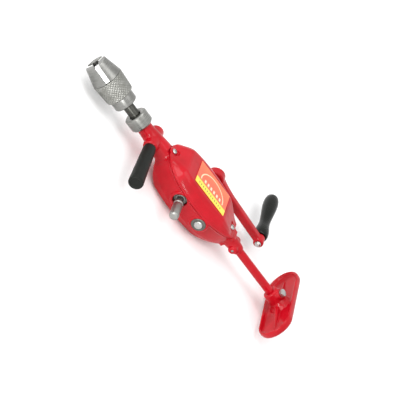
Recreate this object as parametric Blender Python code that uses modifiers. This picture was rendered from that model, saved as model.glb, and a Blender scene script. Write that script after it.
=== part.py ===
"""Breast drill: an enclosed-gear, two-speed hand drill with a breast plate.

Frame, in metres: the origin is the centre of the breast plate's rear face, +X runs along
the spindle towards the chuck, +Y points to the side that the side handle is on, with the
crank on the other side, and +Z is the side of the gear case that the cover closes. The
drill lies on its -Z side.
"""
import math

import bmesh
import bpy

# ---- driving dimensions: places along the spindle axis --------------------------------
PLATE_BOLT_X = 0.0205
CRANK_AXLE_X = 0.186
DRIVE_SHAFT_X = 0.229
SIDE_HANDLE_X = 0.305
CASE_FRONT_X = 0.2815
CASE_REAR_X = 0.127
CASE_WIDEST_X = 0.209
TAIL_BOSS_X = 0.116
CHUCK_REAR_X = 0.366
SLEEVE_REAR_X = 0.3805
SLEEVE_FRONT_X = 0.4095
NOSE_X = 0.4345

# ---- gear case ------------------------------------------------------------------------
CASE_HALF_WIDTH = 0.0390
TIP_HALF_WIDTH = 0.0095
BAND_HALF_HEIGHT = 0.0175
TIP_HALF_HEIGHT = 0.0122
CROWN_RISE = 0.0085
FLOOR_RISE = 0.0112
PANEL_SHARE = 0.70
CASE_WALL = 0.0032
PARTING_Z = 0.0102
GAP = 0.0003
COVER_SCREWS_X = (0.2765, 0.1420)
EAR_RADIUS = 0.0068
EAR_TOP_Z = 0.0138
COVER_SCREW_RADIUS = 0.0021
LABEL_X = 0.2060
LABEL_SIZE = (0.0640, 0.0420, 0.0004)

# ---- spindle, shafts and bushes -------------------------------------------------------
SPINDLE_NOSE_RADIUS = 0.0073
SPINDLE_NECK_RADIUS = 0.0062
SPINDLE_TAIL_RADIUS = 0.0050
SPINDLE_REAR_X = 0.1950
CRANK_AXLE_RADIUS = 0.0060
DRIVE_SHAFT_RADIUS = 0.0062
RUNNING_GAP = 0.0003
AXLE_BUSH_RADIUS = 0.0098
BOSS_RADIUS = 0.0130
BALL_COUNT = 6

# ---- bevel gears: teeth, and the module at the large end ------------------------------
GEAR_MODULE = 0.0016
FAST_CROWN_TEETH = 24
FAST_PINION_TEETH = 12
SLOW_CROWN_TEETH = 16
SLOW_PINION_TEETH = 16
GEAR_FACE = 0.0060
TOOTH_FILL = 0.40
PIN_RADIUS = 0.0012

# ---- crank ----------------------------------------------------------------------------
CRANK_LENGTH = 0.1141
CRANK_DROOP = math.radians(2.5)
CRANK_INNER_Y = 0.0570
CRANK_OUTER_Y = 0.0710
CRANK_HUB_RADIUS = 0.0130
CRANK_END_RADIUS = 0.0072
CRANK_GRIP_LENGTH = 0.0910

# ---- side handle, back rod and breast plate -------------------------------------------
HANDLE_BOSS_RADIUS = 0.0100
HANDLE_BOSS_HALF = 0.0195
SIDE_HANDLE_END_Y = 0.0960
HANDLE_STUD_RADIUS = 0.0038
ROD_RADIUS = 0.0057
ROD_FRONT_X = 0.1330
ROD_REAR_X = 0.0075
PLATE_HALF_LENGTH = 0.0655
PLATE_HALF_WIDTH = 0.0250
PLATE_TILT = math.radians(4)
PLATE_FLOOR = 0.0045
PLATE_RIM = 0.0100

# ---- chuck ----------------------------------------------------------------------------
HUB_RADIUS = 0.0158
SLEEVE_FRONT_RADIUS = 0.0210
SLEEVE_REAR_RADIUS = 0.0193
NOSE_BASE_RADIUS = 0.0205
NOSE_TIP_RADIUS = 0.0148
CORE_RADIUS = 0.0140
JAW_COUNT = 3
JAW_WIDTH = 0.0064
JAW_SLOT_WIDTH = 0.0070
JAW_PHASE = math.radians(-64)

TURN_STEPS = 24
SMALL_STEPS = 16

RED = (0.62, 0.012, 0.03, 1)
STEEL = (0.42, 0.42, 0.40, 1)
BRIGHT_STEEL = (0.70, 0.70, 0.69, 1)
DARK_STEEL = (0.16, 0.16, 0.15, 1)
BRONZE = (0.55, 0.34, 0.14, 1)
BLACK = (0.02, 0.02, 0.018, 1)
LABEL_ORANGE = (0.90, 0.16, 0.04, 1)

ALONG_X = (0, math.pi / 2, 0)
ALONG_Y = (-math.pi / 2, 0, 0)
ALONG_MINUS_Y = (math.pi / 2, 0, 0)
ALONG_Z = (0, 0, 0)


# ---- scene helpers --------------------------------------------------------------------
def clear_scene():
    for obj in list(bpy.data.objects):
        bpy.data.objects.remove(obj, do_unlink=True)


def make_collection(name):
    collection = bpy.data.collections.new(name)
    bpy.context.scene.collection.children.link(collection)
    return collection


def make_material(name, color, roughness, metallic):
    material = bpy.data.materials.new(name)
    material.use_nodes = True
    shader = material.node_tree.nodes["Principled BSDF"]
    shader.inputs["Base Color"].default_value = color
    shader.inputs["Roughness"].default_value = roughness
    shader.inputs["Metallic"].default_value = metallic
    return material


clear_scene()
DRILL = make_collection("hand_drill")
CUTTERS = make_collection("cutters")


def red_paint(name):
    return make_material(name, RED, 0.25, 0.0)


def steel(name, color=STEEL, roughness=0.35):
    return make_material(name, color, roughness, 1.0)


def black_plastic(name, roughness=0.5):
    return make_material(name, BLACK, roughness, 0.0)


def bronze(name):
    return make_material(name, BRONZE, 0.4, 1.0)


def place(name, mesh, material, location=(0, 0, 0), rotation=(0, 0, 0)):
    """A finished part, or a cutter when it has no material."""
    obj = bpy.data.objects.new(name, mesh)
    obj.location = location
    obj.rotation_euler = rotation
    if material is None:
        CUTTERS.objects.link(obj)
        obj.hide_render = True
        obj.display_type = "WIRE"
    else:
        DRILL.objects.link(obj)
        mesh.materials.append(material)
    return obj


def smooth(mesh, angle=35):
    mesh.shade_smooth()
    mesh.set_sharp_from_angle(angle=math.radians(angle))


def cylinder(name, radius, length, material=None, location=(0, 0, 0), rotation=ALONG_Z,
             steps=SMALL_STEPS, end_radius=None):
    """A cylinder or cone centred on its location, along its local Z."""
    mesh = bpy.data.meshes.new(name)
    shape = bmesh.new()
    bmesh.ops.create_cone(shape, cap_ends=True, segments=steps, radius1=radius,
                          radius2=radius if end_radius is None else end_radius, depth=length)
    shape.to_mesh(mesh)
    shape.free()
    smooth(mesh)
    return place(name, mesh, material, location, rotation)


def ball(name, radius, material, location):
    mesh = bpy.data.meshes.new(name)
    shape = bmesh.new()
    bmesh.ops.create_uvsphere(shape, u_segments=8, v_segments=5, radius=radius)
    shape.to_mesh(mesh)
    shape.free()
    smooth(mesh)
    return place(name, mesh, material, location)


def box(name, size, material=None, location=(0, 0, 0), rotation=(0, 0, 0)):
    mesh = bpy.data.meshes.new(name)
    shape = bmesh.new()
    bmesh.ops.create_cube(shape, size=1.0)
    bmesh.ops.scale(shape, vec=size, verts=shape.verts)
    shape.to_mesh(mesh)
    shape.free()
    return place(name, mesh, material, location, rotation)


def turned(name, profile, material=None, location=(0, 0, 0), rotation=ALONG_X,
           steps=TURN_STEPS, ring=False):
    """A turned shape: (radius, height) points, down the outer side from top to bottom."""
    mesh = bpy.data.meshes.new(name)
    edges = [(i, i + 1) for i in range(len(profile) - 1)]
    if ring:
        edges.append((len(profile) - 1, 0))
    mesh.from_pydata([(radius, 0, height) for radius, height in profile], edges, [])
    obj = place(name, mesh, material, location, rotation)
    screw = obj.modifiers.new("turn", "SCREW")
    screw.axis = "Z"
    screw.angle = math.tau
    screw.steps = steps
    screw.render_steps = steps
    screw.use_merge_vertices = True
    screw.merge_threshold = 0.00001
    screw.use_smooth_shade = True
    return obj


def tube(name, outer, inner, low, high, material=None, location=(0, 0, 0), rotation=ALONG_X,
         steps=SMALL_STEPS):
    """A plain ring between two heights along its axis."""
    profile = [(outer, high), (outer, low), (inner, low), (inner, high)]
    return turned(name, profile, material, location, rotation, steps, ring=True)


def loft(name, sections, material=None, location=(0, 0, 0), rotation=(0, 0, 0), closed=False):
    """Skin over sections that have one number of points each; capped unless closed."""
    mesh = bpy.data.meshes.new(name)
    shape = bmesh.new()
    rings = [[shape.verts.new(point) for point in section] for section in sections]
    count = len(rings[0])
    pairs = list(zip(rings[:-1], rings[1:]))
    if closed:
        pairs.append((rings[-1], rings[0]))
    for first, second in pairs:
        for i in range(count):
            j = (i + 1) % count
            shape.faces.new((first[i], first[j], second[j], second[i]))
    if not closed:
        shape.faces.new(rings[0])
        shape.faces.new(rings[-1])
    bmesh.ops.recalc_face_normals(shape, faces=shape.faces)
    shape.to_mesh(mesh)
    shape.free()
    return place(name, mesh, material, location, rotation)


def combine(target, tool, operation):
    boolean = target.modifiers.new(tool.name, "BOOLEAN")
    boolean.operation = operation
    boolean.object = tool
    boolean.solver = "EXACT"


def cut(target, *tools):
    for tool in tools:
        combine(target, tool, "DIFFERENCE")


def join(target, *tools):
    for tool in tools:
        combine(target, tool, "UNION")


def round_edges(obj, width, segments=2, angle=30):
    bevel = obj.modifiers.new("round", "BEVEL")
    bevel.width = width
    bevel.segments = segments
    bevel.limit_method = "ANGLE"
    bevel.angle_limit = math.radians(angle)


# ---- shape of the gear case -----------------------------------------------------------
def case_share(x):
    """How far the leaf-shaped case has opened out at x: 0 at its tips, 1 at its widest."""
    if x >= CASE_WIDEST_X:
        u = (x - CASE_WIDEST_X) / (CASE_FRONT_X - CASE_WIDEST_X)
        return max(0.0, 1 - u ** 2.5) ** 0.5
    u = (CASE_WIDEST_X - x) / (CASE_WIDEST_X - CASE_REAR_X)
    return max(0.0, 1 - u ** 1.8) ** 0.625


def case_half_width(x):
    return max(TIP_HALF_WIDTH, CASE_HALF_WIDTH * case_share(x))


def band_half_height(x):
    """Half the height of the upright side band."""
    rise = BAND_HALF_HEIGHT - TIP_HALF_HEIGHT
    return TIP_HALF_HEIGHT + rise * min(1.0, 1.22 * case_share(x)) ** 2


def crown_height(x, rise=CROWN_RISE):
    """Height of the flat panel in the middle of the case's broad side."""
    return band_half_height(x) + rise * min(1.0, max(0.0, case_share(x) - 0.25) / 0.57)


def case_section(x, inset, base, side):
    """Half of the case across the spindle axis: from the parting plane out to the panel.

    The underside is deeper than the cover, so that the drill lies on it clear of the plate.
    """
    width = case_half_width(x) - inset
    band = band_half_height(x) - inset
    crown = crown_height(x, CROWN_RISE if side > 0 else FLOOR_RISE) - inset
    panel = width * PANEL_SHARE
    shoulder = 0.06 * width
    half = [(width, base), (width, 0.55 * band), (width - shoulder * 0.35, 0.86 * band),
            (width - shoulder, band), (0.5 * (width + panel), 0.4 * band + 0.6 * crown),
            (panel, crown - 0.012 * width), (0.9 * panel, crown)]
    half = [(y, max(z, base)) for y, z in half]
    mirrored = [(-y, z) for y, z in reversed(half)]
    return [(x, y, side * z) for y, z in half + mirrored]


def case_stations(front, rear, count):
    """Stations that crowd together near both tips, where the outline turns fastest."""
    middle = 0.5 * (front + rear)
    half = 0.5 * (front - rear)
    return [middle + half * math.cos(math.pi * i / (count - 1)) for i in range(count)]


def case_half(name, side, base, inset, front, rear, count, material=None):
    sections = [case_section(x, inset, base, side) for x in case_stations(front, rear, count)]
    return loft(name, sections, material)


# ---- bevel gears ----------------------------------------------------------------------
def tooth_ring(teeth, cone_angle, cone_distance, outer_distance, phase):
    """One toothed section on a sphere about the apex where the two shafts cross."""
    scale = GEAR_MODULE / outer_distance
    tip = cone_angle + 0.75 * scale
    root = cone_angle - 1.05 * scale
    pitch = math.tau / teeth
    half_tip = 0.5 * pitch * TOOTH_FILL * 0.55
    half_root = 0.5 * pitch * TOOTH_FILL * 1.35
    ring = []
    for i in range(teeth):
        middle = phase + i * pitch
        corners = ((-half_root, root), (-half_tip, tip), (half_tip, tip), (half_root, root))
        for offset, polar in corners:
            flat = cone_distance * math.sin(polar)
            ring.append((flat * math.cos(middle + offset), flat * math.sin(middle + offset),
                         cone_distance * math.cos(polar)))
    return ring


def plain_ring(teeth_points, radius, height):
    """A round ring with its points at the same angles as a toothed ring's."""
    ring = []
    for x, y, _ in teeth_points:
        length = math.hypot(x, y)
        ring.append((radius * x / length, radius * y / length, height))
    return ring


def bevel_gear(name, teeth, mate_teeth, bore, hub_radius, hub_end, contact, half_pitch,
               material, apex, rotation):
    """A straight bevel gear along local +Z from its apex, in mesh at the contact angle.

    The hub runs from the back of the teeth to hub_end, measured from the apex.
    """
    pitch_radius = 0.5 * GEAR_MODULE * teeth
    mate_radius = 0.5 * GEAR_MODULE * mate_teeth
    outer = math.hypot(pitch_radius, mate_radius)
    cone_angle = math.atan2(pitch_radius, mate_radius)
    phase = contact + (math.pi / teeth if half_pitch else 0.0)
    large = tooth_ring(teeth, cone_angle, outer, outer, phase)
    small = tooth_ring(teeth, cone_angle, outer - GEAR_FACE, outer, phase)
    back = max(point[2] for point in large)
    front = min(point[2] for point in small)
    sections = [plain_ring(large, bore, hub_end), plain_ring(large, hub_radius, hub_end),
                plain_ring(large, hub_radius, back + 0.0008), large, small,
                plain_ring(large, bore, front)]
    return loft(name, sections, material, apex, rotation, closed=True)


# ---- case, cover and what is fastened to them -----------------------------------------
def make_gear_case():
    case = case_half("gear_case", -1, -PARTING_Z, 0, CASE_FRONT_X, CASE_REAR_X, 15,
                     red_paint("case_red"))
    neck = turned("neck", [(0, 0.3355), (0.0112, 0.3355), (0.0112, 0.3285), (0.0100, 0.3285),
                           (0.0104, 0.318), (0.0124, 0.300), (0.0138, 0.284), (0.0150, 0.268),
                           (0.0150, 0.2571), (0, 0.2571)], steps=20)
    tail = turned("tail", [(0, 0.160), (0.0105, 0.160), (0.0120, 0.140), (0.0102, 0.126),
                           (0.0082, 0.112), (0.0078, 0.1045), (0, 0.1045)], steps=20)
    handle_boss = turned("handle_boss", [(0, HANDLE_BOSS_HALF), (0.0086, HANDLE_BOSS_HALF),
                                         (HANDLE_BOSS_RADIUS, 0.0180), (0.0105, 0.004),
                                         (0.0105, -0.004), (HANDLE_BOSS_RADIUS, -0.0180),
                                         (0.0086, -HANDLE_BOSS_HALF), (0, -HANDLE_BOSS_HALF)],
                         location=(SIDE_HANDLE_X, 0, 0), rotation=ALONG_Y, steps=20)
    tail_lobes = turned("tail_lobes", [(0, 0.0140), (0.0042, 0.0140), (0.0063, 0.0120),
                                       (0.0066, 0.0), (0.0063, -0.0120), (0.0042, -0.0140),
                                       (0, -0.0140)],
                        location=(TAIL_BOSS_X, 0, 0), rotation=ALONG_Y, steps=20)
    cavity = case_half("case_cavity", -1, -PARTING_Z - 0.001, CASE_WALL, 0.262, 0.152, 10)
    cover_seat = box("cover_seat", (CASE_FRONT_X + 0.0035 - 0.1345, 0.09, 0.04),
                     location=(0.5 * (CASE_FRONT_X + 0.0035 + 0.1345), 0, PARTING_Z + 0.02))
    bearing_boss = turned("bearing_boss", [(0, 0.2713), (0.0118, 0.2713), (0.0105, 0.2460),
                                           (0, 0.2460)], steps=20)
    join(case, neck, tail, handle_boss, tail_lobes)
    cut(case, cavity)
    join(case, bearing_boss)
    cut(case, cover_seat)
    for name, x, side in (("axle_boss", CRANK_AXLE_X, 1), ("far_boss", CRANK_AXLE_X, -1),
                          ("drive_boss", DRIVE_SHAFT_X, 1)):
        boss = cylinder(name, BOSS_RADIUS, 0.0125, location=(x, side * 0.0333, 0),
                        rotation=ALONG_Y, steps=20)
        join(case, boss)
        cut(case, box(name + "_seat", (0.03, 0.03, 0.01),
                      location=(x, side * 0.033, PARTING_Z + 0.005)))
    drillings = [
        ("spindle_way", SPINDLE_NECK_RADIUS + 0.0006, 0.290, 0.340),
        ("front_bush_seat", 0.0090, 0.3070, 0.340),
        ("tail_way", SPINDLE_TAIL_RADIUS + 0.0006, 0.225, 0.300),
        ("rear_bush_seat", 0.0077, 0.2400, 0.2640),
        ("rod_way", ROD_RADIUS + GAP, 0.100, ROD_FRONT_X + GAP),
    ]
    for name, radius, low, high in drillings:
        cut(case, cylinder(name, radius, high - low, location=(0.5 * (low + high), 0, 0),
                           rotation=ALONG_X))
    side_ways = [
        ("near_axle_way", AXLE_BUSH_RADIUS + GAP, CRANK_AXLE_X, 0.020, 0.045),
        ("far_axle_way", AXLE_BUSH_RADIUS + GAP, CRANK_AXLE_X, -0.045, -0.020),
        ("drive_way", AXLE_BUSH_RADIUS + GAP, DRIVE_SHAFT_X, 0.018, 0.045),
        ("near_stud_hole", HANDLE_STUD_RADIUS + GAP, SIDE_HANDLE_X, 0.0100, 0.025),
        ("far_stud_hole", HANDLE_STUD_RADIUS + GAP, SIDE_HANDLE_X, -0.025, -0.0100),
        ("rod_pin_hole", 0.0020 + GAP, TAIL_BOSS_X, -0.020, 0.020),
    ]
    for name, radius, x, low, high in side_ways:
        cut(case, cylinder(name, radius, high - low, location=(x, 0.5 * (low + high), 0),
                           rotation=(-math.pi / 2, 0.07, 0), steps=18 if radius > 0.006 else 14))
    for i, x in enumerate(COVER_SCREWS_X):
        cut(case, cylinder(f"case_screw_hole_{i}", COVER_SCREW_RADIUS + GAP, 0.0080,
                           location=(x, 0, 0.0102), rotation=(0, 0, 0.1), steps=14))
    return case


def make_case_cover():
    base = PARTING_Z + GAP
    cover = case_half("case_cover", 1, base, 0, CASE_FRONT_X - 0.001, 0.1350, 14,
                      red_paint("cover_red"))
    hollow = case_half("cover_hollow", 1, base - 0.001, CASE_WALL, 0.262, 0.152, 10)
    for i, x in enumerate(COVER_SCREWS_X):
        ear = cylinder(f"ear_{i}", EAR_RADIUS, EAR_TOP_Z + 0.002 - base,
                       location=(x, 0, 0.5 * (EAR_TOP_Z + 0.002 + base)))
        join(cover, ear)
        cut(cover, cylinder(f"ear_trim_{i}", EAR_RADIUS + 0.0006, 0.020,
                            location=(x, 0, EAR_TOP_Z + 0.010), rotation=(0, 0, 0.15)))
        cut(cover, cylinder(f"cover_screw_hole_{i}", COVER_SCREW_RADIUS + GAP, 0.03,
                            location=(x, 0, EAR_TOP_Z), steps=12))
    cut(cover, hollow)
    for name, x, side in (("near_axle_room", CRANK_AXLE_X, 1),
                          ("far_axle_room", CRANK_AXLE_X, -1),
                          ("drive_room", DRIVE_SHAFT_X, 1)):
        cut(cover, cylinder(name, BOSS_RADIUS + 0.0005, 0.03, location=(x, side * 0.040, 0),
                            rotation=ALONG_Y, steps=20))
    return cover


def make_cover_screws():
    for i, x in enumerate(COVER_SCREWS_X):
        screw = cylinder(f"cover_screw_{i + 1}", 0.0038, 0.0024,
                         steel(f"screw_zinc_{i + 1}", BRIGHT_STEEL, 0.3),
                         (x, 0, EAR_TOP_Z + GAP + 0.0012), steps=20, end_radius=0.0030)
        shank = cylinder(f"shank_{i}", COVER_SCREW_RADIUS, 0.0072,
                         location=(x, 0, EAR_TOP_Z - 0.0030), steps=12)
        join(screw, shank)
        slot = box(f"driver_slot_{i}", (0.0090, 0.0009, 0.0012), None,
                   (x, 0, EAR_TOP_Z + GAP + 0.0022), (0, 0, 0.6 + i))
        cut(screw, slot)


def make_label():
    base = crown_height(CASE_WIDEST_X) + 0.0003
    return box("label", LABEL_SIZE, make_material("label_orange", LABEL_ORANGE, 0.35, 0.0),
               location=(LABEL_X, 0, base + 0.5 * LABEL_SIZE[2]))


# ---- spindle and its bearings ---------------------------------------------------------
def make_bearing_cap():
    return turned("bearing_cap", [(0.0100, 0.3474), (0.0138, 0.3474), (0.0154, 0.3458),
                                  (0.0154, 0.3308), (0.0134, 0.3286), (0.0116, 0.3286),
                                  (0.0116, 0.3446), (0.0078, 0.3446), (0.0078, 0.3474)],
                  steel("cap_steel"), ring=True)


def make_thrust_bearing():
    tube("thrust_washer_front", 0.0111, 0.0068, 0.3409, 0.3419, steel("washer_steel"))
    tube("thrust_washer_rear", 0.0111, 0.0068, 0.3358, 0.3368, steel("washer_steel_2"))

    for i in range(BALL_COUNT):
        angle = math.tau * i / BALL_COUNT
        ball("thrust_ball_" + str(i + 1), 0.0017, steel(f"ball_steel_{i + 1}", BRIGHT_STEEL, 0.1),
             (0.33885, 0.0090 * math.cos(angle), 0.0090 * math.sin(angle)))


def make_bushes():
    inner = SPINDLE_NECK_RADIUS + RUNNING_GAP
    tube("front_bush", 0.0087, inner, 0.3073, 0.3330, bronze("bronze_1"))
    inner = SPINDLE_TAIL_RADIUS + RUNNING_GAP
    tube("rear_bush", 0.0074, inner, 0.2460, 0.2637, bronze("bronze_2"))
    inner = CRANK_AXLE_RADIUS + RUNNING_GAP
    for name, side in (("near_axle_bush", ALONG_Y), ("far_axle_bush", ALONG_MINUS_Y)):
        tube(name, AXLE_BUSH_RADIUS, inner, 0.0270, 0.0402, steel(name + "_steel", DARK_STEEL),
             location=(CRANK_AXLE_X, 0, 0), rotation=side, steps=20)
    inner = DRIVE_SHAFT_RADIUS + RUNNING_GAP
    tube("drive_shaft_bush", AXLE_BUSH_RADIUS, inner, 0.0235, 0.0350,
         steel("drive_bush_steel", DARK_STEEL), location=(DRIVE_SHAFT_X, 0, 0),
         rotation=ALONG_Y, steps=20)


def make_spindle():
    return turned("spindle", [(0, 0.3895), (0.0060, 0.3895), (0.0060, 0.3657),
                              (SPINDLE_NOSE_RADIUS, 0.3657), (SPINDLE_NOSE_RADIUS, 0.3440),
                              (0.0112, 0.3440), (0.0112, 0.3422),
                              (SPINDLE_NECK_RADIUS, 0.3422), (SPINDLE_NECK_RADIUS, 0.2980),
                              (SPINDLE_TAIL_RADIUS, 0.2960),
                              (SPINDLE_TAIL_RADIUS, SPINDLE_REAR_X), (0, SPINDLE_REAR_X)],
                  steel("spindle_steel", DARK_STEEL), steps=20)


def make_gears():
    bore = SPINDLE_TAIL_RADIUS + GAP
    fast = bevel_gear("fast_pinion", FAST_PINION_TEETH, FAST_CROWN_TEETH, bore, 0.0078,
                      0.0250, -math.pi / 2, True, steel("pinion_steel"),
                      (CRANK_AXLE_X, 0, 0), ALONG_X)
    slow = bevel_gear("slow_pinion", SLOW_PINION_TEETH, SLOW_CROWN_TEETH, bore, 0.0085,
                      0.0177, -math.pi / 2, True, steel("pinion_steel_2"),
                      (DRIVE_SHAFT_X, 0, 0), (math.pi, math.pi / 2, 0))
    bore = CRANK_AXLE_RADIUS + GAP
    fast_crown = bevel_gear("fast_crown_wheel", FAST_CROWN_TEETH, FAST_PINION_TEETH, bore,
                            0.0110, 0.0235, 0, False, steel("crown_steel"),
                            (CRANK_AXLE_X, 0, 0), ALONG_MINUS_Y)
    bore = 0.0050 + GAP
    slow_crown = bevel_gear("slow_crown_wheel", SLOW_CROWN_TEETH, SLOW_PINION_TEETH, bore,
                            0.0095, 0.0212, math.pi, False, steel("crown_steel_2"),
                            (DRIVE_SHAFT_X, 0, 0), ALONG_Y)
    return fast, slow, fast_crown, slow_crown


def make_crank_axle():
    return turned("crank_axle", [(0, 0.0790), (0.0040, 0.0790), (0.0040, 0.0716),
                                 (CRANK_AXLE_RADIUS, 0.0716), (CRANK_AXLE_RADIUS, -0.0405),
                                 (0.0050, -0.0415), (0.0028, -0.0421), (0, -0.0423)],
                  steel("axle_steel", BRIGHT_STEEL), location=(CRANK_AXLE_X, 0, 0),
                  rotation=ALONG_MINUS_Y, steps=20)


def make_drive_shaft():
    return turned("slow_drive_shaft", [(0, 0.0740), (0.0046, 0.0740), (0.0062, 0.0726),
                                       (0.0065, 0.0710), (0.0065, 0.0500), (0.0058, 0.0494),
                                       (0.0058, 0.0480), (0.0065, 0.0474), (0.0065, 0.0450),
                                       (0.0050, 0.0440), (0.0050, 0.0356),
                                       (DRIVE_SHAFT_RADIUS, 0.0356),
                                       (DRIVE_SHAFT_RADIUS, 0.0216), (0.0050, 0.0216),
                                       (0.0050, 0.0078), (0, 0.0078)],
                  steel("drive_shaft_steel", BRIGHT_STEEL), location=(DRIVE_SHAFT_X, 0, 0),
                  rotation=ALONG_Y, steps=20)


def pin_hub(name, hub, shaft, hub_radius, x, y):
    """A cross pin along Z that locks a gear's hub to its shaft."""
    cylinder(name, PIN_RADIUS, 2 * hub_radius - 0.0008, steel(name + "_steel"), (x, y, 0),
             ALONG_Z, 12)
    hole = cylinder(name + "_hole", PIN_RADIUS + GAP, 2 * hub_radius + 0.004, None, (x, y, 0),
                    ALONG_Z, 12)
    cut(hub, hole)
    cut(shaft, hole)


# ---- crank ----------------------------------------------------------------------------
def crank_outline(length, hub_radius, end_radius, waist, narrow):
    """Flat outline of the crank arm: a round hub, a tapering bar and a round end."""
    points = []
    hub_open = math.asin(waist / hub_radius)
    for i in range(9):
        angle = hub_open + (math.tau - 2 * hub_open) * i / 8
        points.append((hub_radius * math.cos(angle), hub_radius * math.sin(angle)))
    end_open = math.asin(narrow / end_radius)
    for i in range(7):
        angle = -(math.pi - end_open) + 2 * (math.pi - end_open) * i / 6
        points.append((length + end_radius * math.cos(angle), end_radius * math.sin(angle)))
    return points


def make_crank_arm():
    middle = -0.5 * (CRANK_INNER_Y + CRANK_OUTER_Y)
    outline = crank_outline(CRANK_LENGTH, 0.0100, 0.0062, 0.0054, 0.0046)
    half = 0.0044
    sections = [[(-x, y, z) for x, z in outline] for y in (-half, half)]
    arm = loft("crank_arm", sections, red_paint("crank_red"), (CRANK_AXLE_X, middle, 0),
               (0, -CRANK_DROOP, 0))
    round_edges(arm, 0.0016, 1)
    hub = turned("crank_hub", [(0, 0.0070), (0.0115, 0.0070), (CRANK_HUB_RADIUS, 0.0058),
                               (CRANK_HUB_RADIUS, -0.0058), (0.0115, -0.0070), (0, -0.0070)],
                 location=(CRANK_AXLE_X, middle, 0), rotation=ALONG_Y, steps=20)
    end_x = CRANK_AXLE_X - CRANK_LENGTH * math.cos(CRANK_DROOP)
    end_z = -CRANK_LENGTH * math.sin(CRANK_DROOP)
    end = turned("crank_end", [(0, 0.0070), (0.0062, 0.0070), (CRANK_END_RADIUS, 0.0060),
                               (CRANK_END_RADIUS, -0.0060), (0.0062, -0.0070), (0, -0.0070)],
                 location=(end_x, middle, end_z), rotation=ALONG_Y, steps=12)
    join(arm, hub, end)
    cut(arm, cylinder("crank_axle_hole", CRANK_AXLE_RADIUS + GAP, 0.03, None,
                      (CRANK_AXLE_X, middle, 0), ALONG_Y, 20))
    cut(arm, cylinder("crank_pin_hole", 0.0036, 0.03, None, (end_x, middle, end_z), ALONG_Y))
    return end_x, end_z


def make_crank_fittings(end_x, end_z):
    tube("crank_washer", 0.0095, 0.0043, 0.0719, 0.0731, steel("washer_zinc", BRIGHT_STEEL),
         location=(CRANK_AXLE_X, 0, 0), rotation=ALONG_MINUS_Y)
    nut = cylinder("crank_nut", 0.0075, 0.0042, steel("nut_zinc", BRIGHT_STEEL),
                   (CRANK_AXLE_X, -0.0755, 0), ALONG_Y, 6)
    cut(nut, cylinder("crank_nut_hole", 0.0043, 0.01, None, (CRANK_AXLE_X, -0.0755, 0), ALONG_Y))
    low = CRANK_INNER_Y - 0.0020
    grip_start = CRANK_OUTER_Y + 0.0006
    grip_end = grip_start + CRANK_GRIP_LENGTH
    turned("crank_grip_pin", [(0, grip_end - 0.012), (0.0033, grip_end - 0.012),
                              (0.0033, CRANK_INNER_Y - GAP), (0.0045, CRANK_INNER_Y - GAP),
                              (0.0045, low), (0.0036, low - 0.0010), (0, low - 0.0014)],
           steel("rivet_zinc", BRIGHT_STEEL), location=(end_x, 0, end_z),
           rotation=ALONG_MINUS_Y, steps=12)
    length = CRANK_GRIP_LENGTH
    turned("crank_grip", [(0, length), (0.0040, 0.993 * length), (0.0075, 0.960 * length),
                          (0.0098, 0.900 * length), (0.0106, 0.820 * length),
                          (0.0103, 0.720 * length), (0.0092, 0.580 * length),
                          (0.0079, 0.440 * length), (0.0073, 0.330 * length),
                          (0.0078, 0.240 * length), (0.0094, 0.150 * length),
                          (0.0101, 0.080 * length), (0.0096, 0.020 * length),
                          (0.0086, 0.0), (0.0037, 0.0), (0.0037, length - 0.011),
                          (0, length - 0.011)],
           black_plastic("grip_black", 0.3), location=(end_x, -grip_start, end_z),
           rotation=ALONG_MINUS_Y, steps=20)


# ---- side handle, back rod and breast plate -------------------------------------------
def make_side_handle():
    start = HANDLE_BOSS_HALF + 0.0005
    end = SIDE_HANDLE_END_Y
    turned("side_handle", [(0, end - 0.0008), (0.0075, end - 0.0006), (0.0090, end),
                           (0.0099, end - 0.0012), (0.0101, end - 0.0040),
                           (0.0096, end - 0.020), (0.0089, start + 0.024),
                           (0.0084, start + 0.004), (0.0080, start), (0.0041, start),
                           (0.0041, start + 0.0325), (0, start + 0.0325)],
           black_plastic("handle_black", 0.6), location=(SIDE_HANDLE_X, 0, 0),
           rotation=ALONG_Y, steps=20)
    cylinder("side_handle_stud", HANDLE_STUD_RADIUS, 0.0410, steel("stud_zinc", BRIGHT_STEEL),
             (SIDE_HANDLE_X, 0.0310, 0), ALONG_Y, 20)


def make_back_rod():
    length = ROD_FRONT_X - ROD_REAR_X
    rod = cylinder("back_rod", ROD_RADIUS, length, red_paint("rod_red"),
                   (0.5 * (ROD_FRONT_X + ROD_REAR_X), 0, 0), ALONG_X, 20)
    round_edges(rod, 0.0006, 1)
    cut(rod, cylinder("rod_cross_hole", 0.0023, 0.03, None, (TAIL_BOSS_X, 0, 0), ALONG_Y, 12))
    pin_part = cylinder("rod_pin", 0.0020, 0.0270, steel("rod_pin_steel"), (TAIL_BOSS_X, 0, 0),
                        ALONG_Y, 12)
    round_edges(pin_part, 0.0004, 1)


def stadium(half_length, half_width, count=8):
    points = []
    straight = half_length - half_width
    for side in (1, -1):
        for i in range(count):
            angle = -math.pi / 2 + math.pi * i / (count - 1)
            points.append((side * half_width * math.sin(angle),
                           side * (straight + half_width * math.cos(angle))))
    return points


def plate_ring(inset, height):
    ring = stadium(PLATE_HALF_LENGTH - inset, PLATE_HALF_WIDTH - inset)
    return [(height, y, -z) for z, y in ring]


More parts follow.
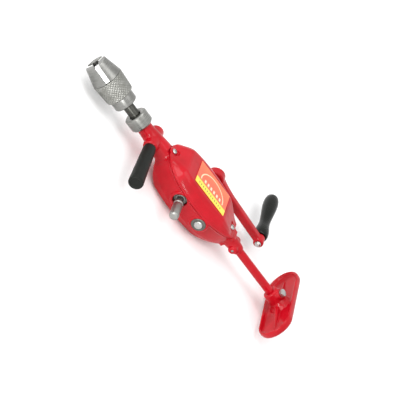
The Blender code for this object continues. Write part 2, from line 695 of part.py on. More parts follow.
def make_breast_plate():
    rings = [plate_ring(0.0030, 0.0), plate_ring(0.0008, 0.0016), plate_ring(0, 0.0050),
             plate_ring(0.0004, PLATE_RIM - 0.0010), plate_ring(0.0014, PLATE_RIM),
             plate_ring(0.0032, PLATE_RIM - 0.0010), plate_ring(0.0050, PLATE_FLOOR + 0.0016),
             plate_ring(0.0085, PLATE_FLOOR)]
    plate = loft("breast_plate", rings, red_paint("plate_red"), (0, 0, 0),
                 (PLATE_TILT, 0, 0))
    socket = turned("plate_socket", [(0, 0.0300), (0.0094, 0.0300), (0.0104, 0.0288),
                                     (0.0108, 0.0140), (0.0145, PLATE_FLOOR + 0.0015),
                                     (0.0145, 0.0030), (0, 0.0030)], steps=20)
    join(plate, socket)
    for side in (1, -1):
        low, high = 0.0030, 0.0130
        near = 0.006
        far = PLATE_HALF_LENGTH - 0.014
        wide, thin = 0.0050, 0.0014
        sections = [[(low, side * near, -wide), (low, side * near, wide),
                     (high, side * near, wide * 0.55), (high, side * near, -wide * 0.55)],
                    [(low, side * far, -thin), (low, side * far, thin),
                     (PLATE_FLOOR + 0.0012, side * far, thin * 0.5),
                     (PLATE_FLOOR + 0.0012, side * far, -thin * 0.5)]]
        rib = loft(f"plate_rib_{side}", sections, None, (0, 0, 0), (PLATE_TILT, 0, 0))
        join(plate, rib)
    bolt_boss = cylinder("bolt_boss", 0.0075, 0.0060, None, (PLATE_BOLT_X, 0, 0.0092), steps=12)
    join(plate, bolt_boss)
    cut(plate, cylinder("rod_socket", ROD_RADIUS + GAP, 0.0300, None,
                        (ROD_REAR_X - GAP + 0.0150, 0, 0), ALONG_X, 20))
    cut(plate, cylinder("bolt_hole", 0.0033, 0.0120, None, (PLATE_BOLT_X, 0, 0.0110), steps=12))
    bolt = cylinder("plate_bolt", 0.0058, 0.0042, steel("bolt_zinc", BRIGHT_STEEL),
                    (PLATE_BOLT_X, 0, 0.0146), steps=6)
    join(bolt, cylinder("bolt_shank", 0.0030, 0.0080, None, (PLATE_BOLT_X, 0, 0.0101), steps=12))
    return plate


# ---- chuck ----------------------------------------------------------------------------
def jaw_cutter(name, width, outer_rise, front, rear):
    """A radial slab from the spindle axis outwards, where a jaw runs."""
    size = (front - rear, width, outer_rise)
    return box(name, size, None, (0.5 * (front + rear), 0, 0.5 * outer_rise))


def turn_about_spindle(obj, angle):
    x, y, z = obj.location
    obj.location = (x, y * math.cos(angle) - z * math.sin(angle),
                    y * math.sin(angle) + z * math.cos(angle))
    obj.rotation_euler[0] += angle


def make_chuck_body():
    body = turned("chuck_body", [(0.0052, NOSE_X), (NOSE_TIP_RADIUS - 0.0006, NOSE_X),
                                 (NOSE_TIP_RADIUS, NOSE_X - 0.0012),
                                 (NOSE_BASE_RADIUS, SLEEVE_FRONT_X + 0.0004),
                                 (CORE_RADIUS, SLEEVE_FRONT_X + 0.0004),
                                 (CORE_RADIUS, SLEEVE_REAR_X - 0.0004),
                                 (HUB_RADIUS, SLEEVE_REAR_X - 0.0004),
                                 (HUB_RADIUS, CHUCK_REAR_X + 0.0012),
                                 (HUB_RADIUS - 0.0012, CHUCK_REAR_X),
                                 (0.0063, CHUCK_REAR_X), (0.0063, 0.3900), (0.0052, 0.3900)],
                  steel("chuck_steel"), ring=True, steps=30)
    for i in range(JAW_COUNT):
        angle = JAW_PHASE + i * math.tau / JAW_COUNT
        slot = jaw_cutter(f"jaw_slot_{i}", JAW_SLOT_WIDTH, 0.024, NOSE_X + 0.005,
                          SLEEVE_FRONT_X - 0.0105)
        turn_about_spindle(slot, angle)
        cut(body, slot)
    return body


def make_chuck_sleeve():
    return turned("chuck_sleeve", [(SLEEVE_FRONT_RADIUS - 0.0006, SLEEVE_FRONT_X),
                                   (SLEEVE_FRONT_RADIUS, SLEEVE_FRONT_X - 0.0008),
                                   (SLEEVE_REAR_RADIUS, SLEEVE_REAR_X + 0.0010),
                                   (SLEEVE_REAR_RADIUS - 0.0010, SLEEVE_REAR_X),
                                   (CORE_RADIUS + 0.0008, SLEEVE_REAR_X),
                                   (CORE_RADIUS + 0.0008, SLEEVE_FRONT_X)],
                  steel("sleeve_steel"), ring=True, steps=30)


def make_jaws():
    half = 0.5 * JAW_WIDTH
    front = NOSE_X - 0.0010
    shoulder = SLEEVE_FRONT_X + 0.0012
    rear = SLEEVE_FRONT_X - 0.0095
    cone = (NOSE_BASE_RADIUS - NOSE_TIP_RADIUS) / (NOSE_X - SLEEVE_FRONT_X)
    sink = 0.0007
    outline = [(front, NOSE_TIP_RADIUS - sink),
               (shoulder, NOSE_TIP_RADIUS - sink + cone * (front - shoulder)),
               (shoulder, 0.0128), (rear, 0.0128)]
    for i in range(JAW_COUNT):
        sections = []
        for y in (-half, 0, half):
            lift = abs(y) * math.tan(math.radians(30))
            inner = [(front, 0.0047 + lift)]
            sections.append([(x, y, z) for x, z in inner + outline + [(rear, 0.0088 + lift)]])
        jaw = loft(f"chuck_jaw_{i + 1}", sections, steel(f"jaw_steel_{i + 1}", BRIGHT_STEEL, 0.15))
        turn_about_spindle(jaw, JAW_PHASE + i * math.tau / JAW_COUNT)
        jaw.data.shade_flat()


make_gear_case()
make_case_cover()
make_cover_screws()
make_label()
make_bearing_cap()
make_thrust_bearing()
make_bushes()
SPINDLE = make_spindle()
FAST_PINION, SLOW_PINION, FAST_CROWN, SLOW_CROWN = make_gears()
AXLE = make_crank_axle()
DRIVE_SHAFT = make_drive_shaft()
pin_hub("fast_pinion_pin", FAST_PINION, SPINDLE, 0.0078, CRANK_AXLE_X + 0.0228, 0)
pin_hub("slow_pinion_pin", SLOW_PINION, SPINDLE, 0.0085, DRIVE_SHAFT_X - 0.0157, 0)
pin_hub("fast_crown_pin", FAST_CROWN, AXLE, 0.0110, CRANK_AXLE_X, -0.0190)
pin_hub("slow_crown_pin", SLOW_CROWN, DRIVE_SHAFT, 0.0095, DRIVE_SHAFT_X, 0.0180)
END_X, END_Z = make_crank_arm()
make_crank_fittings(END_X, END_Z)
make_side_handle()
make_back_rod()
make_breast_plate()
make_chuck_body()
make_chuck_sleeve()
make_jaws()
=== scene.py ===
"""Looks of the breast drill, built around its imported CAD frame.

Metres, +X along the spindle towards the chuck, +Y towards the side handle, +Z up through
the gear case's cover. Every turned, cast or knurled surface that shows is a fine mesh here
and stands for its plainer CAD node. Gears, pins, washers, balls, the spindle's bushes and the
side handle's stud keep their CAD meshes.
"""

import math

import bmesh
import bpy
from mathutils import Matrix, Vector


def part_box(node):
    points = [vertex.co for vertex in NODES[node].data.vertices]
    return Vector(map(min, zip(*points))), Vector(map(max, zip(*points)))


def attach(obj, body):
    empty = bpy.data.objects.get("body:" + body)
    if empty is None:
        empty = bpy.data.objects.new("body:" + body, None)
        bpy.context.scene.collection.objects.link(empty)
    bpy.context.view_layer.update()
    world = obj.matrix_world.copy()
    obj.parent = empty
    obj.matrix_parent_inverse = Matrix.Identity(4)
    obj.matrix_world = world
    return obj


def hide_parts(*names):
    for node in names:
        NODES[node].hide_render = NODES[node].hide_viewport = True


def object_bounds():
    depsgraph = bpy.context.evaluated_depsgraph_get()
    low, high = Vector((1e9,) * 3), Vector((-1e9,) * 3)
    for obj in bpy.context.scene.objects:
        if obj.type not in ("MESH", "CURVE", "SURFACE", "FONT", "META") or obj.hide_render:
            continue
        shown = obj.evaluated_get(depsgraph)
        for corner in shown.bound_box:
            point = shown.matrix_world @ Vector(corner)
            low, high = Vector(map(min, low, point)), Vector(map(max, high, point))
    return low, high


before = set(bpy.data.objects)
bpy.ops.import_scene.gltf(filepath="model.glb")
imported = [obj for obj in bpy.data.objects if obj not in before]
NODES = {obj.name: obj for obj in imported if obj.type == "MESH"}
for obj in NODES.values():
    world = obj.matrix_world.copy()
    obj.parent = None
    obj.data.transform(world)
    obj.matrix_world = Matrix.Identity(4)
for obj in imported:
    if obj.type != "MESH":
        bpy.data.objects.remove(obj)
CAD_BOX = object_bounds()

# ---- places taken from the frame ------------------------------------------------------
LOW = {name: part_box(name)[0] for name in NODES}
HIGH = {name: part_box(name)[1] for name in NODES}
MIDDLE = {name: 0.5 * (LOW[name] + HIGH[name]) for name in NODES}
CRANK_AXLE_X = MIDDLE["crank_axle"].x
DRIVE_SHAFT_X = MIDDLE["slow_drive_shaft"].x
SIDE_HANDLE_X = MIDDLE["side_handle"].x
CRANK_END = Vector((MIDDLE["crank_grip"].x, 0, MIDDLE["crank_grip"].z))
CASE_REAR_X, CASE_FRONT_X = 0.127, 0.2815
CASE_WIDEST_X = 0.209
COVER_REAR_X, COVER_FRONT_X = 0.1350, CASE_FRONT_X - 0.0010
CAVITY_REAR_X, CAVITY_FRONT_X = 0.152, 0.262
TAIL_BOSS_X = MIDDLE["rod_pin"].x
SLEEVE_REAR_X, SLEEVE_FRONT_X = LOW["chuck_sleeve"].x, HIGH["chuck_sleeve"].x
CHUCK_REAR_X, NOSE_X = LOW["chuck_body"].x, HIGH["chuck_body"].x
PLATE_BOLT_X = MIDDLE["plate_bolt"].x
PLATE_TILT = math.radians(4)
CRANK_DROOP = math.radians(2.5)
CRANK_LENGTH = 0.1141
JAW_PHASE = math.radians(-64)
JAW_COUNT = 3
PARTING_Z = 0.0102
EAR_TOP_Z = 0.0138
COVER_SCREWS_X = (0.2765, 0.1420)
GAP = 0.0003

CASE_HALF_WIDTH = 0.0390
TIP_HALF_WIDTH = 0.0095
BAND_HALF_HEIGHT = 0.0175
TIP_HALF_HEIGHT = 0.0122
BAND_RISE = BAND_HALF_HEIGHT - TIP_HALF_HEIGHT
# Each crown: how far it rises over the side band, and the shares where its slope starts and ends.
COVER_CROWN = (0.0085, 0.45, 0.83)
FLOOR_CROWN = (0.0112, 0.25, 0.82)
PANEL_SHARE = 0.70
CASE_WALL = 0.0032
LIP_REACH = 0.0014
LIP_HEIGHT = 0.0028
BUSH_SEAT_RADIUS = 0.0101
SCREW_HOLE_RADIUS = 0.0024
ROD_PIN_HOLE_RADIUS = 0.0023
GEAR_PIN_HOLE_RADIUS = 0.0015

CRANK_MIDDLE_Y = -0.0640
NOSE_RADIUS, CONE_RADIUS = 0.0148, 0.0205
JAW_HALF_WIDTH = 0.0032
SLEEVE_FRONT_RADIUS, SLEEVE_REAR_RADIUS = 0.0210, 0.0193
SLEEVE_BORE_RADIUS = 0.0148

TURN_STEPS = 96
CASE_STATIONS, CAVITY_STATIONS = 64, 24
CASE_VOXEL, FINE_VOXEL = 0.0006, 0.0005


# ---- materials ------------------------------------------------------------------------
class Surface:
    """A Principled material whose colour, roughness and relief come from noise in metres."""

    def __init__(self, name, metallic=0.0, coat=0.0, coat_roughness=0.1, specular=0.5):
        self.material = bpy.data.materials.new(name)
        self.material.use_nodes = True
        self.tree = self.material.node_tree
        self.shader = self.tree.nodes["Principled BSDF"]
        self.shader.inputs["Metallic"].default_value = metallic
        self.shader.inputs["Coat Weight"].default_value = coat
        self.shader.inputs["Coat Roughness"].default_value = coat_roughness
        self.shader.inputs["Specular IOR Level"].default_value = specular
        self.place = self.node("ShaderNodeTexCoord").outputs["Object"]

    def node(self, kind, **inputs):
        made = self.tree.nodes.new(kind)
        for key, value in inputs.items():
            socket = made.inputs[key.replace("_", " ")]
            if isinstance(value, bpy.types.NodeSocket):
                self.tree.links.new(value, socket)
            else:
                socket.default_value = value
        return made

    def noise(self, scale, detail=3.0, stretch=(1, 1, 1)):
        """Noise with a number of features to the metre; stretch multiplies it per axis."""
        mapping = self.node("ShaderNodeMapping", Vector=self.place)
        mapping.inputs["Scale"].default_value = [scale * s for s in stretch]
        noise = self.node("ShaderNodeTexNoise", Vector=mapping.outputs["Vector"], Scale=1.0,
                          Detail=detail)
        return noise.outputs["Fac"]

    def ramp(self, factor, *stops):
        ramp = self.node("ShaderNodeValToRGB", Fac=factor)
        elements = ramp.color_ramp.elements
        while len(elements) < len(stops):
            elements.new(0.5)
        for element, (position, color) in zip(elements, stops):
            element.position = position
            element.color = (*color, 1)
        return ramp.outputs["Color"]

    def value(self, factor, low, high, start=0.35, end=0.65):
        scaled = self.node("ShaderNodeMapRange", Value=factor)
        scaled.inputs["From Min"].default_value = start
        scaled.inputs["From Max"].default_value = end
        scaled.inputs["To Min"].default_value = low
        scaled.inputs["To Max"].default_value = high
        return scaled.outputs["Result"]

    def mix(self, factor, first, second):
        mixed = self.tree.nodes.new("ShaderNodeMix")
        mixed.data_type = "RGBA"
        for socket, value in zip((mixed.inputs[0], mixed.inputs[6], mixed.inputs[7]),
                                 (factor, first, second)):
            if isinstance(value, bpy.types.NodeSocket):
                self.tree.links.new(value, socket)
            elif isinstance(value, tuple):
                socket.default_value = (*value, 1)
            else:
                socket.default_value = value
        return mixed.outputs[2]

    def math(self, operation, first, second=0.0, third=0.0):
        made = self.tree.nodes.new("ShaderNodeMath")
        made.operation = operation
        for socket, value in zip(made.inputs, (first, second, third)):
            if isinstance(value, bpy.types.NodeSocket):
                self.tree.links.new(value, socket)
            else:
                socket.default_value = value
        return made.outputs[0]

    def finish(self, color, roughness, *reliefs):
        """Reliefs are (height, depth in metres), each laid over the one before."""
        self.tree.links.new(color, self.shader.inputs["Base Color"])
        self.tree.links.new(roughness, self.shader.inputs["Roughness"])
        normal = None
        for height, depth in reliefs:
            bump = self.node("ShaderNodeBump", Height=height, Strength=1.0, Distance=depth)
            if normal is not None:
                self.tree.links.new(normal, bump.inputs["Normal"])
            normal = bump.outputs["Normal"]
        if normal is not None:
            self.tree.links.new(normal, self.shader.inputs["Normal"])
        return self.material


def red_enamel():
    """Glossy enamel over a casting: slow waves of the casting and fine orange peel."""
    s = Surface("red_enamel", coat=0.30, coat_roughness=0.04, specular=0.10)
    shade = s.noise(45, 3)
    color = s.ramp(shade, (0.30, (0.35, 0.001, 0.006)), (0.52, (0.42, 0.002, 0.009)),
                   (0.75, (0.47, 0.003, 0.012)))
    return s.finish(color, s.value(s.noise(160, 3), 0.30, 0.38), (s.noise(40, 1.5), 0.0007))


def turned_steel(name, axis, dark, light, rough):
    """Turned steel: tool marks run round the axis, with faint oil stains between them."""
    s = Surface(name, metallic=1.0)
    along = [0.02, 0.02, 0.02]
    along["xyz".index(axis)] = 1.0
    marks = s.noise(2600, 4, stretch=along)
    blotch = s.noise(90, 5)
    base = s.ramp(marks, (0.25, dark), (0.75, light))
    oily = tuple(0.45 * c for c in dark)
    color = s.mix(s.value(blotch, 0.0, 0.35, 0.45, 0.75), base, oily)
    roughness = s.math("ADD", s.value(marks, rough - 0.06, rough + 0.08),
                       s.value(blotch, 0.0, 0.10))
    return s.finish(color, roughness, (marks, 0.000015), (blotch, 0.00004))


def knurled_steel():
    s = Surface("knurled_steel", metallic=1.0)
    blotch = s.noise(140, 5)
    grain = s.noise(2200, 3)
    color = s.ramp(blotch, (0.3, (0.22, 0.22, 0.20)), (0.7, (0.34, 0.34, 0.32)))
    color = s.mix(s.value(grain, 0.0, 0.4, 0.5, 0.8), color, (0.12, 0.12, 0.105))
    return s.finish(color, s.value(grain, 0.30, 0.46), (grain, 0.00004))


def zinc_plate():
    """Bright zinc: a fine crystalline sheen with a faint warm and cool cast."""
    s = Surface("zinc_plate", metallic=1.0)
    blotch = s.noise(220, 4)
    grain = s.noise(3200, 3)
    color = s.ramp(blotch, (0.3, (0.40, 0.395, 0.37)), (0.55, (0.50, 0.50, 0.49)),
                   (0.8, (0.44, 0.45, 0.47)))
    return s.finish(color, s.value(grain, 0.20, 0.34), (grain, 0.00003), (blotch, 0.00008))


def polished_steel():
    s = Surface("polished_steel", metallic=1.0)
    lines = s.noise(3000, 3, stretch=(0.03, 1, 1))
    color = s.ramp(lines, (0.3, (0.90, 0.90, 0.88)), (0.7, (0.97, 0.97, 0.96)))
    return s.finish(color, s.value(lines, 0.16, 0.26), (lines, 0.000006))


def bronze_metal():
    s = Surface("bearing_bronze", metallic=1.0)
    blotch = s.noise(160, 4)
    color = s.ramp(blotch, (0.3, (0.42, 0.24, 0.09)), (0.7, (0.64, 0.42, 0.18)))
    return s.finish(color, s.value(s.noise(1800, 3), 0.28, 0.42), (blotch, 0.00005))


def moulded_plastic(name, low, high, rough, grain_depth, coat=0.0):
    """Black moulded plastic with a fine spark-eroded grain and slow flow marks."""
    s = Surface(name, coat=coat, coat_roughness=0.15, specular=0.15)
    grain = s.noise(2400, 3)
    flow = s.noise(60, 4)
    color = s.ramp(flow, (0.3, low), (0.7, high))
    roughness = s.math("ADD", s.value(grain, rough - 0.05, rough + 0.05),
                       s.value(flow, -0.03, 0.05))
    return s.finish(color, roughness, (flow, 0.00015), (grain, grain_depth))


def label_print():
    """Printed film in plain shapes: an orange field, a yellow strip and a pale arc."""
    s = Surface("label_print", coat=0.35, coat_roughness=0.12)
    low, high = LOW["label"], HIGH["label"]
    split = s.node("ShaderNodeSeparateXYZ", Vector=s.place)
    across = s.value(split.outputs["Y"], 0.0, 1.0, low.y, high.y)
    along = s.value(split.outputs["X"], 0.0, 1.0, low.x, high.x)
    field = s.ramp(across, (0.0, (0.95, 0.13, 0.035)), (0.45, (0.90, 0.075, 0.030)),
                   (0.75, (0.93, 0.10, 0.035)))
    ink = s.noise(700, 3)
    field = s.mix(s.value(ink, 0.0, 0.25), field, (0.98, 0.28, 0.07))
    wide = s.math("MULTIPLY", s.math("SUBTRACT", along, 0.5), 1.55)
    deep = s.math("MULTIPLY", s.math("SUBTRACT", across, 0.62), 1.25)
    radius = s.math("SQRT", s.math("ADD", s.math("MULTIPLY", wide, wide),
                                   s.math("MULTIPLY", deep, deep)))
    ring = s.math("COMPARE", radius, 0.58, 0.022)
    upper = s.math("LESS_THAN", across, 0.68)
    arc = s.math("MULTIPLY", ring, upper)
    color = s.mix(arc, field, (0.96, 0.60, 0.38))
    bars = s.math("GREATER_THAN", s.math("SINE", s.math("MULTIPLY", along, 62.0)), 0.05)
    row = s.math("MULTIPLY", s.math("COMPARE", across, 0.60, 0.065),
                 s.math("COMPARE", along, 0.50, 0.30))
    color = s.mix(s.math("MULTIPLY", row, bars), color, (0.95, 0.62, 0.45))
    strip = s.math("GREATER_THAN", across, 0.745)
    yellow = s.ramp(ink, (0.3, (0.93, 0.58, 0.035)), (0.7, (0.96, 0.70, 0.06)))
    color = s.mix(strip, color, yellow)
    dashes = s.math("GREATER_THAN", s.math("SINE", s.math("MULTIPLY", along, 95.0)), 0.15)
    line = s.math("MULTIPLY", s.math("COMPARE", across, 0.87, 0.042),
                  s.math("COMPARE", along, 0.50, 0.40))
    color = s.mix(s.math("MULTIPLY", line, dashes), color, (0.20, 0.22, 0.02))
    return s.finish(color, s.value(ink, 0.28, 0.38), (s.noise(500, 2), 0.00003))


def paper_floor():
    s = Surface("paper_floor")
    grain = s.noise(300, 3)
    color = s.ramp(grain, (0.3, (0.93, 0.93, 0.93)), (0.7, (0.95, 0.95, 0.95)))
    return s.finish(color, s.value(grain, 0.75, 0.85))


RED = red_enamel()
STEEL_X = turned_steel("turned_steel_x", "x", (0.21, 0.21, 0.195), (0.33, 0.33, 0.315), 0.26)
NOSE_STEEL = turned_steel("nose_steel", "x", (0.19, 0.19, 0.18), (0.31, 0.31, 0.295), 0.28)
DARK_STEEL_X = turned_steel("dark_steel_x", "x", (0.05, 0.05, 0.045), (0.10, 0.10, 0.09), 0.28)
# Bush steel: dark turned steel, darkened further as painted shade of the counterbores the bushes sit
# in.
BUSH_STEEL_PAINTED_SHADE = turned_steel("bush_steel_painted_shade", "y", (0.10, 0.10, 0.09), (0.20, 0.20, 0.18), 0.36)
STEEL_Y = turned_steel("turned_steel_y", "y", (0.26, 0.26, 0.245), (0.38, 0.38, 0.36), 0.34)
GEAR_STEEL = turned_steel("gear_steel", "z", (0.25, 0.25, 0.24), (0.42, 0.42, 0.40), 0.34)
KNURL = knurled_steel()
ZINC = zinc_plate()
POLISHED = polished_steel()
BRONZE = bronze_metal()
HANDLE_BLACK = moulded_plastic("handle_black", (0.006, 0.007, 0.006), (0.012, 0.013, 0.011),
                               0.50, 0.00004)
GRIP_BLACK = moulded_plastic("grip_black", (0.004, 0.005, 0.004), (0.008, 0.009, 0.007),
                             0.26, 0.00002, coat=0.10)
LABEL = label_print()


# ---- mesh helpers ---------------------------------------------------------------------
X_AXIS = Matrix(((0, 0, 1), (1, 0, 0), (0, 1, 0))).to_4x4()
Y_AXIS = Matrix(((0, 1, 0), (0, 0, 1), (1, 0, 0))).to_4x4()
MINUS_Y_AXIS = Matrix(((1, 0, 0), (0, 0, -1), (0, 1, 0))).to_4x4()
Z_AXIS = Matrix.Identity(4)


def at(x, y, z, turn=Z_AXIS):
    """A place for a shape made along local Z: a turn, then a shift."""
    return Matrix.Translation((x, y, z)) @ turn


def mesh_from(vertices, faces, place=Z_AXIS):
    shape = bmesh.new()
    made = [shape.verts.new(place @ Vector(point)) for point in vertices]
    for face in faces:
        shape.faces.new([made[i] for i in face])
    bmesh.ops.recalc_face_normals(shape, faces=shape.faces)
    mesh = bpy.data.meshes.new("mesh")
    shape.to_mesh(mesh)
    shape.free()
    return mesh


def eased(profile, size, steps=3):
    """The profile with each sharp corner rounded off, by size or half the shorter side."""
    points = [Vector(point) for point in profile]
    result = [tuple(points[0])]
    for before, corner, after in zip(points[:-2], points[1:-1], points[2:]):
        back, ahead = before - corner, after - corner
        bend = math.pi - back.angle(ahead)
        if bend < math.radians(12):
            result.append(tuple(corner))
            continue
        reach = min(size, 0.4 * back.length, 0.4 * ahead.length)
        start, end = corner + back.normalized() * reach, corner + ahead.normalized() * reach
        for i in range(steps + 1):
            t = i / steps
            result.append(tuple((1 - t) ** 2 * start + 2 * t * (1 - t) * corner + t * t * end))
    result.append(tuple(points[-1]))
    return result


def revolved(profile, place, steps=TURN_STEPS, ease=0.0004, closed=False):
    """A turned mesh from (radius, height) points; a closed profile makes a ring."""
    if closed:
        line = eased([profile[-1], *profile, profile[0]], ease)[1:-1]
    else:
        line = eased(profile, ease)
    vertices, rings, faces = [], [], []
    for radius, height in line:
        if radius < 1e-6:
            rings.append([len(vertices)] * steps)
            vertices.append((0, 0, height))
            continue
        rings.append(list(range(len(vertices), len(vertices) + steps)))
        vertices += [(radius * math.cos(math.tau * i / steps),
                      radius * math.sin(math.tau * i / steps), height) for i in range(steps)]
    pairs = list(zip(rings[:-1], rings[1:]))
    if closed:
        pairs.append((rings[-1], rings[0]))
    for first, second in pairs:
        for i in range(steps):
            j = (i + 1) % steps
            corners = [first[i], first[j], second[j], second[i]]
            faces.append(list(dict.fromkeys(corners)))
    return mesh_from(vertices, [face for face in faces if len(face) > 2], place)


def block(size, place):
    """A plain box, used to cut with."""
    shape = bmesh.new()
    bmesh.ops.create_cube(shape, size=1.0)
    bmesh.ops.scale(shape, vec=size, verts=shape.verts)
    bmesh.ops.transform(shape, matrix=place, verts=shape.verts)
    mesh = bpy.data.meshes.new("block")
    shape.to_mesh(mesh)
    shape.free()
    return mesh


def rod(radius, length, place, steps=48):
    """A plain cylinder centred on its place, used to cut with."""
    half = 0.5 * length
    return revolved([(0, half), (radius, half), (radius, -half), (0, -half)], place, steps,
                    ease=0.0)


def skinned(sections):
    """A closed skin over sections that all have the same number of points."""
    count = len(sections[0])
    vertices = [point for section in sections for point in section]
    faces = []
    for k in range(len(sections) - 1):
        for i in range(count):
            j = (i + 1) % count
            faces.append([k * count + i, k * count + j, (k + 1) * count + j,
                          (k + 1) * count + i])
    faces.append(list(range(count)))
    faces.append(list(range(len(vertices) - count, len(vertices))))
    return mesh_from(vertices, faces)


def with_modifiers(mesh, *settings):
    """A new mesh: the given one with modifiers, as (kind, {setting: value}), applied."""
    obj = bpy.data.objects.new("working", mesh)
    bpy.context.scene.collection.objects.link(obj)
    for kind, values in settings:
        modifier = obj.modifiers.new(kind, kind)
        for key, value in values.items():
            setattr(modifier, key, value)
    graph = bpy.context.evaluated_depsgraph_get()
    result = bpy.data.meshes.new_from_object(obj.evaluated_get(graph))
    bpy.data.objects.remove(obj)
    return result


def joined(*meshes):
    """The meshes in one, overlapping where they do."""
    shape = bmesh.new()
    for mesh in meshes:
        shape.from_mesh(mesh)
    result = bpy.data.meshes.new("joined")
    shape.to_mesh(result)
    shape.free()
    return result


def fused(voxel, rounds, *meshes):
    """One skin over overlapping solids, with a fillet where they meet."""
    return with_modifiers(joined(*meshes),
                          ("REMESH", {"mode": "VOXEL", "voxel_size": voxel}),
                          ("SMOOTH", {"factor": 0.5, "iterations": rounds}))


def cut(mesh, *tools):
    """The mesh with each tool's space taken out of it."""
    for tool in tools:
        cutter = bpy.data.objects.new("cutter", tool)
        bpy.context.scene.collection.objects.link(cutter)
        mesh = with_modifiers(mesh, ("BOOLEAN", {"operation": "DIFFERENCE", "object": cutter,
                                                 "solver": "MANIFOLD"}))
        bpy.data.objects.remove(cutter)
    return mesh


def piece(name, mesh, material, body, replaces, sharp=40):
    """A finished piece of the visual model, on its CAD body, in place of the nodes named."""
    obj = bpy.data.objects.new(name, mesh)
    bpy.context.scene.collection.objects.link(obj)
    mesh.materials.clear()
    mesh.materials.append(material)
    mesh.shade_smooth()
    mesh.set_sharp_from_angle(angle=math.radians(sharp))
    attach(obj, body)
    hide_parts(*replaces)


# ---- gear case ------------------------------------------------------------------------
def case_share(x):
    """How far the leaf-shaped case has opened out at x: 0 at its tips, 1 at its widest."""
    if x >= CASE_WIDEST_X:
        u = (x - CASE_WIDEST_X) / (CASE_FRONT_X - CASE_WIDEST_X)
        return max(0.0, 1 - u ** 2.5) ** 0.5
    u = (CASE_WIDEST_X - x) / (CASE_WIDEST_X - CASE_REAR_X)
    return max(0.0, 1 - u ** 1.8) ** 0.625


def case_section(x, inset, base, side):
    """Half of the case across the spindle axis: from the parting plane out to the panel."""
    share = case_share(x)
    width = max(TIP_HALF_WIDTH, CASE_HALF_WIDTH * share) - inset
    band = TIP_HALF_HEIGHT + BAND_RISE * min(1.0, 1.22 * share) ** 2
    rise, start, end = COVER_CROWN if side > 0 else FLOOR_CROWN
    crown = band + rise * min(1.0, max(0.0, share - start) / (end - start)) - inset
    band -= inset
    panel = width * PANEL_SHARE
    shoulder = 0.06 * width
    half = [(width, base), (width, 0.55 * band), (width - shoulder * 0.35, 0.86 * band),
            (width - shoulder, band), (0.5 * (width + panel), 0.4 * band + 0.6 * crown),
            (panel, crown - 0.012 * width), (0.9 * panel, crown), (0.3 * panel, crown)]
    half = [(y, max(z, base + 0.00002 * i)) for i, (y, z) in enumerate(half)]
    mirrored = [(-y, z) for y, z in reversed(half)]
    return [(x, y, side * z) for y, z in half + mirrored]


def case_stations(front, rear, count):
    """Places along the case that crowd together near its tips, where it turns fastest."""
    middle, half = 0.5 * (front + rear), 0.5 * (front - rear)
    return [middle + half * math.cos(math.pi * i / (count - 1)) for i in range(count)]


def case_half(side, base, inset, front, rear, count=CASE_STATIONS):
    return skinned([case_section(x, inset, base, side)
                    for x in case_stations(front, rear, count)])


def case_lip(side, base):
    """The flange beside the parting plane, a little proud of the case's wall."""
    low, high = sorted((base, base + side * LIP_HEIGHT))
    sections = []
    for x in case_stations(COVER_FRONT_X, COVER_REAR_X, CASE_STATIONS):
        width = max(TIP_HALF_WIDTH, CASE_HALF_WIDTH * case_share(x)) + LIP_REACH
        sections.append([(x, -width, low), (x, -width, high), (x, width, high),
                         (x, width, low)])
    return skinned(sections)


def case_cavity(side, base):
    """The room for the gears, one wall's thickness inside the case."""
    return case_half(side, base, CASE_WALL, CAVITY_FRONT_X, CAVITY_REAR_X, CAVITY_STATIONS)


def shaft_bosses():
    """The three bosses that hold the bushes, out of both sides of the case."""
    profile = [(0, 0.0395), (0.0118, 0.0395), (0.0130, 0.0383), (0.0142, 0.030),
               (0.0142, 0.022), (0, 0.022)]
    return [revolved(profile, at(x, 0, 0, turn)) for x, turn in (
        (CRANK_AXLE_X, Y_AXIS), (CRANK_AXLE_X, MINUS_Y_AXIS), (DRIVE_SHAFT_X, Y_AXIS))]


def bush_seats():
    """The bores that the three bushes sit in, used to cut both halves of the case."""
    return [rod(BUSH_SEAT_RADIUS, 0.030, at(x, y, 0, Y_AXIS)) for x, y in (
        (CRANK_AXLE_X, 0.035), (CRANK_AXLE_X, -0.035), (DRIVE_SHAFT_X, 0.033))]


